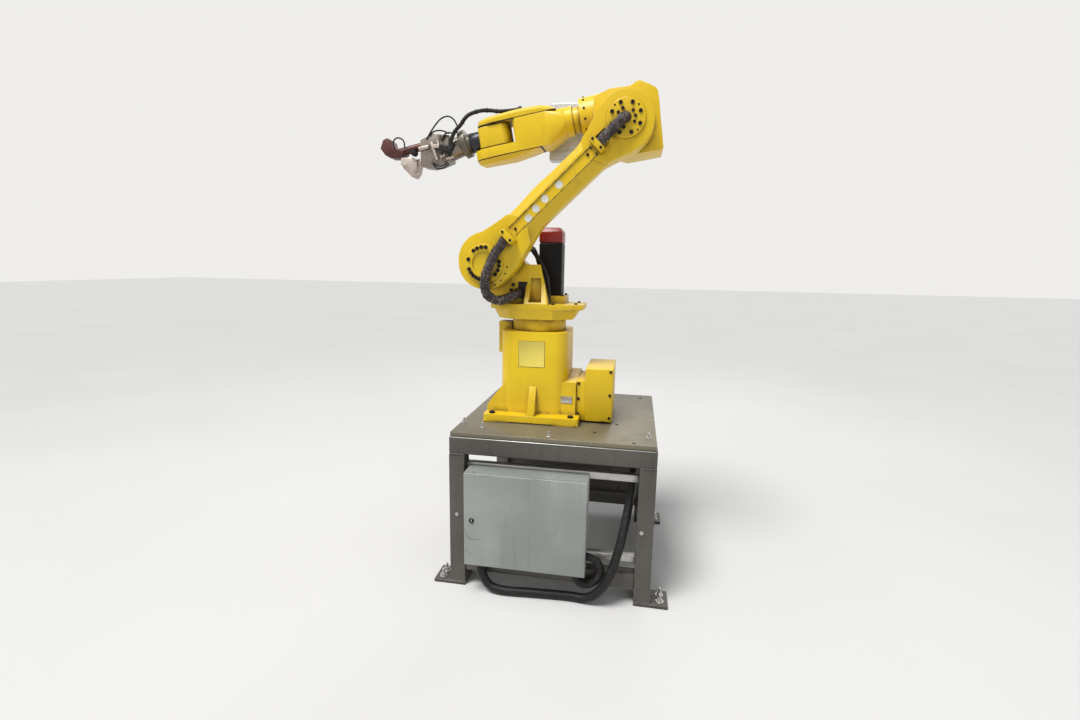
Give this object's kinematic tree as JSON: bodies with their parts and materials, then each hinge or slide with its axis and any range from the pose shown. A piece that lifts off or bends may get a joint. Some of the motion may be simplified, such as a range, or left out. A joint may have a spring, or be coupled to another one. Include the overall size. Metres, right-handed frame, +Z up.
{
  "type": "industrial robot arm",
  "caption": "Six-axis industrial robot arm with a gripper, bolted on a welded steel stand that carries a small hinged enclosure.",
  "frame": {"origin": "centre of the part's footprint at the floor, the underside of the four foot plates", "axes": "+Z up, +X right along the stand's front edge, +Y back, away from the enclosure's side"},
  "size_m": [1.3024, 0.8812, 2.016],
  "materials": {
    "yellow_paint": "glossy robot enamel, worn and chipped",
    "stand_paint": "dark warm grey paint over welded steel",
    "plate_paint": "scuffed grey paint on steel plate",
    "enclosure_paint": "pale grey powder coat",
    "motor_black": "satin black servo motor",
    "motor_red": "dark red moulded encoder cap",
    "zinc_steel": "zinc plated steel",
    "dark_metal": "dark oxidised steel",
    "bare_metal": "bare machined metal",
    "hose_sleeve": "black sleeve"
  },
  "bodies": {
    "base": {"stand_top_plate": "plate_paint", "stand_apron_frame": "stand_paint", "stand_leg_front_left": "stand_paint", "stand_leg_front_right": "stand_paint", "stand_leg_back_left": "stand_paint", "stand_leg_back_right": "stand_paint", "stand_lower_rail_front": "stand_paint", "stand_lower_rail_back": "stand_paint", "stand_lower_rail_left": "stand_paint", "stand_lower_rail_right": "stand_paint", "stand_back_panel": "stand_paint", "enclosure_strut_upper": "zinc_steel", "enclosure_strut_lower": "zinc_steel", "enclosure_body": "enclosure_paint", "enclosure_floor_hose": "hose_sleeve", "enclosure_side_hose": "hose_sleeve", "robot_base_casting": "yellow_paint", "connector_box": "yellow_paint", "j1_bearing_ring": "yellow_paint"},
    "door": {"enclosure_door": "enclosure_paint"},
    "turret": {"turret_casting": "yellow_paint", "j1_motor": "motor_black", "j1_motor_cap": "motor_red", "j2_motor": "motor_black", "j2_motor_cap": "motor_red"},
    "lower_arm": {"lower_arm_casting": "yellow_paint", "j2_cover_disc": "yellow_paint", "j3_cover_disc": "yellow_paint", "lower_hose_clamp": "yellow_paint", "upper_hose_clamp": "yellow_paint", "j2_sleeved_hose": "hose_sleeve", "j3_sleeved_hose": "hose_sleeve"},
    "elbow": {"elbow_casting": "yellow_paint", "elbow_top_cover": "yellow_paint", "j4_neck_ring": "yellow_paint", "j3_motor": "motor_black", "elbow_side_box": "zinc_steel", "elbow_box_bracket": "zinc_steel"},
    "forearm": {"forearm_casting": "yellow_paint", "forearm_upper_cover": "yellow_paint", "forearm_lower_cover": "yellow_paint", "tool_hose": "hose_sleeve"},
    "wrist": {"wrist_housing": "yellow_paint"},
    "tool": {"tool_flange": "dark_metal", "gripper_adapter": "dark_metal", "gripper_hub": "bare_metal", "upper_tool_arm": "bare_metal", "lower_tool_arm": "bare_metal"}
  },
  "joints": [
    {"name": "j1_turret_turn", "type": "hinge", "parent": "base", "child": "turret", "pos_m": [0.0588, -0.0003, 1.0878], "axis": [0, 0, 1], "range_deg": [-170, 170]},
    {"name": "j2_lower_arm_swing", "type": "hinge", "parent": "turret", "child": "lower_arm", "pos_m": [-0.142, -0.0888, 1.3148], "axis": [0, -1, 0], "range_deg": [-40, 105], "deforming": ["j2_sleeved_hose"]},
    {"name": "j3_elbow_swing", "type": "hinge", "parent": "lower_arm", "child": "elbow", "pos_m": [0.40449, -0.0888, 1.85654], "axis": [0, 1, 0], "range_deg": [-10, 180]},
    {"name": "j4_forearm_roll", "type": "hinge", "parent": "elbow", "child": "forearm", "pos_m": [0.1866, -0.0003, 1.89517], "axis": [0.9842, 0, 0.1771], "range_deg": [-190, 190]},
    {"name": "j5_wrist_bend", "type": "hinge", "parent": "forearm", "child": "wrist", "pos_m": [-0.13621, -0.0003, 1.83708], "axis": [-0.1771, 0, 0.9842], "range_deg": [-120, 120], "deforming": ["tool_hose"]},
    {"name": "j6_tool_turn", "type": "hinge", "parent": "wrist", "child": "tool", "pos_m": [-0.20146, -0.0003, 1.82534], "axis": [0.9842, 0, 0.1771], "range_deg": [-270, 270], "deforming": ["tool_hose"]},
    {"name": "enclosure_door_hinge", "type": "hinge", "parent": "base", "child": "door", "pos_m": [0.3328, -0.4406, 0.3245], "axis": [0, 0, 1], "range_deg": [0, 120]}
  ]
}
